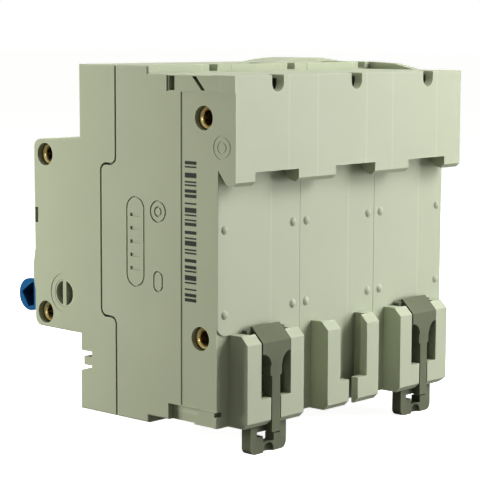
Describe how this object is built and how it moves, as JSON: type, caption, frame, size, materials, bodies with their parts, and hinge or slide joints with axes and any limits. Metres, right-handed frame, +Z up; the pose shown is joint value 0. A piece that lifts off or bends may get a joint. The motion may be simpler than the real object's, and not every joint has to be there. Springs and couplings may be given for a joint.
{
  "type": "residual current device",
  "caption": "Rail-mounted residual current device, three modules wide, with blue toggles, test button, clamp terminals, hollow rivets and two sliding rail clips.",
  "frame": {"origin": "middle of the rail seat: rear plane, centre of the width, centre line of the 35 mm rail", "axes": "+X towards the residual current module, +Y from the nose to the rail, +Z up"},
  "size_m": [0.081, 0.0724, 0.0856],
  "materials": {
    "case_plastic": "fine grain",
    "brass": "satin",
    "blue_plastic": "satin",
    "clip_plastic": "fine grain",
    "plated_steel": "zinc plated",
    "copper": "drawn copper",
    "dark_plastic": "matt",
    "core_plastic": "matt",
    "board_green": "solder mask",
    "button_plastic": "satin"
  },
  "bodies": {
    "case": {"arm_pins": "plated_steel", "board_components": "dark_plastic", "circuit_board": "board_green", "flexible_leads": "copper", "handle_pins": "plated_steel", "pole_1_arc_chamber_sides": "dark_plastic", "pole_1_arc_plates": "plated_steel", "pole_1_bimetal": "plated_steel", "pole_1_coil_bobbin": "dark_plastic", "pole_1_coil_yoke": "plated_steel", "pole_1_fixed_contact": "copper", "pole_1_left_shell": "case_plastic", "pole_1_line_strap": "copper", "pole_1_load_strap": "copper", "pole_1_primary_conductor": "copper", "pole_1_right_shell": "case_plastic", "pole_1_trip_coil": "copper", "pole_2_arc_chamber_sides": "dark_plastic", "pole_2_arc_plates": "plated_steel", "pole_2_bimetal": "plated_steel", "pole_2_coil_bobbin": "dark_plastic", "pole_2_coil_yoke": "plated_steel", "pole_2_fixed_contact": "copper", "pole_2_left_shell": "case_plastic", "pole_2_line_strap": "copper", "pole_2_load_strap": "copper", "pole_2_primary_conductor": "copper", "pole_2_right_shell": "case_plastic", "pole_2_trip_coil": "copper", "rcd_base_shell": "case_plastic", "rcd_front_cover": "case_plastic", "rcd_left_shell": "case_plastic", "reset_toggle_pin": "plated_steel", "sensing_winding": "copper", "test_contact_spring": "copper", "test_resistor": "dark_plastic", "toroid_core": "core_plastic", "trip_relay": "dark_plastic", "tubular_rivets": "brass"},
    "main_handle": {"pole_1_handle": "blue_plastic", "pole_2_handle": "blue_plastic", "handle_tie_bar": "blue_plastic"},
    "reset_toggle": {"reset_toggle": "blue_plastic"},
    "test_button": {"test_button": "button_plastic"},
    "trip_lever": {"trip_lever": "case_plastic"},
    "relay_plunger": {"relay_plunger": "plated_steel"},
    "pole_1_contact_arm": {"pole_1_contact_arm": "copper"},
    "pole_1_trip_plunger": {"pole_1_trip_plunger": "plated_steel"},
    "pole_1_line_screw": {"pole_1_line_screw": "plated_steel"},
    "pole_1_line_cage": {"pole_1_line_cage": "plated_steel"},
    "pole_1_load_screw": {"pole_1_load_screw": "plated_steel"},
    "pole_1_load_cage": {"pole_1_load_cage": "plated_steel"},
    "pole_2_contact_arm": {"pole_2_contact_arm": "copper"},
    "pole_2_trip_plunger": {"pole_2_trip_plunger": "plated_steel"},
    "pole_2_line_screw": {"pole_2_line_screw": "plated_steel"},
    "pole_2_line_cage": {"pole_2_line_cage": "plated_steel"},
    "pole_2_load_screw": {"pole_2_load_screw": "plated_steel"},
    "pole_2_load_cage": {"pole_2_load_cage": "plated_steel"},
    "rail_clip_1": {"rail_clip_1": "clip_plastic"},
    "rail_clip_2": {"rail_clip_2": "clip_plastic"}
  },
  "joints": [
    {"name": "main_handle_turn", "type": "hinge", "parent": "case", "child": "main_handle", "pos_m": [-0.0135, -0.05, 0], "axis": [-1, 0, 0], "range_deg": [0, 90]},
    {"name": "reset_toggle_turn", "type": "hinge", "parent": "case", "child": "reset_toggle", "pos_m": [0.027, -0.05, 0], "axis": [-1, 0, 0], "range_deg": [0, 90]},
    {"name": "test_button_press", "type": "slide", "parent": "case", "child": "test_button", "axis": [0, 1, 0], "range_m": [0, 0.0015], "stiffness_N_per_m": 400},
    {"name": "relay_plunger_stroke", "type": "slide", "parent": "case", "child": "relay_plunger", "axis": [0, 0, 1], "range_m": [0, 0.00156], "stiffness_N_per_m": 60},
    {"name": "trip_lever_turn", "type": "hinge", "parent": "case", "child": "trip_lever", "pos_m": [0.0405, -0.0489, -0.0139], "axis": [1, 0, 0], "range_deg": [0, 6]},
    {"name": "pole_1_contact_arm_turn", "type": "hinge", "parent": "case", "child": "pole_1_contact_arm", "pos_m": [0, -0.03, 0.004], "axis": [1, 0, 0], "range_deg": [0, 20]},
    {"name": "pole_1_trip_plunger_stroke", "type": "slide", "parent": "case", "child": "pole_1_trip_plunger", "axis": [0, -1, 0], "range_m": [0, 0.002], "stiffness_N_per_m": 150},
    {"name": "pole_1_line_screw_turn", "type": "hinge", "parent": "case", "child": "pole_1_line_screw", "pos_m": [0, -0.04, 0.031], "axis": [0, 1, 0], "range_deg": [0, 1200]},
    {"name": "pole_1_line_cage_slide", "type": "slide", "parent": "case", "child": "pole_1_line_cage", "axis": [0, -1, 0], "range_m": [0, 0.00333]},
    {"name": "pole_1_load_screw_turn", "type": "hinge", "parent": "case", "child": "pole_1_load_screw", "pos_m": [0, -0.04, -0.032], "axis": [0, 1, 0], "range_deg": [0, 1200]},
    {"name": "pole_1_load_cage_slide", "type": "slide", "parent": "case", "child": "pole_1_load_cage", "axis": [0, -1, 0], "range_m": [0, 0.00333]},
    {"name": "pole_2_contact_arm_turn", "type": "hinge", "parent": "case", "child": "pole_2_contact_arm", "pos_m": [-0.027, -0.03, 0.004], "axis": [1, 0, 0], "range_deg": [0, 20]},
    {"name": "pole_2_trip_plunger_stroke", "type": "slide", "parent": "case", "child": "pole_2_trip_plunger", "axis": [0, -1, 0], "range_m": [0, 0.002], "stiffness_N_per_m": 150},
    {"name": "pole_2_line_screw_turn", "type": "hinge", "parent": "case", "child": "pole_2_line_screw", "pos_m": [-0.027, -0.04, 0.031], "axis": [0, 1, 0], "range_deg": [0, 1200]},
    {"name": "pole_2_line_cage_slide", "type": "slide", "parent": "case", "child": "pole_2_line_cage", "axis": [0, -1, 0], "range_m": [0, 0.00333]},
    {"name": "pole_2_load_screw_turn", "type": "hinge", "parent": "case", "child": "pole_2_load_screw", "pos_m": [-0.027, -0.04, -0.032], "axis": [0, 1, 0], "range_deg": [0, 1200]},
    {"name": "pole_2_load_cage_slide", "type": "slide", "parent": "case", "child": "pole_2_load_cage", "axis": [0, -1, 0], "range_m": [0, 0.00333]},
    {"name": "rail_clip_1_pull", "type": "slide", "parent": "case", "child": "rail_clip_1", "axis": [0, 0, -1], "range_m": [0, 0.0045]},
    {"name": "rail_clip_2_pull", "type": "slide", "parent": "case", "child": "rail_clip_2", "axis": [0, 0, -1], "range_m": [0, 0.0045]}
  ],
  "couplings": [
    {"joint": "trip_lever_turn", "follows": "relay_plunger_stroke", "rad_per_m": 67.114},
    {"joint": "pole_1_contact_arm_turn", "follows": "main_handle_turn", "ratio": 0.22222},
    {"joint": "pole_1_line_screw_turn", "follows": "pole_1_line_cage_slide", "rad_per_m": 6283.2},
    {"joint": "pole_1_load_screw_turn", "follows": "pole_1_load_cage_slide", "rad_per_m": 6283.2},
    {"joint": "pole_2_contact_arm_turn", "follows": "main_handle_turn", "ratio": 0.22222},
    {"joint": "pole_2_line_screw_turn", "follows": "pole_2_line_cage_slide", "rad_per_m": 6283.2},
    {"joint": "pole_2_load_screw_turn", "follows": "pole_2_load_cage_slide", "rad_per_m": 6283.2}
  ]
}
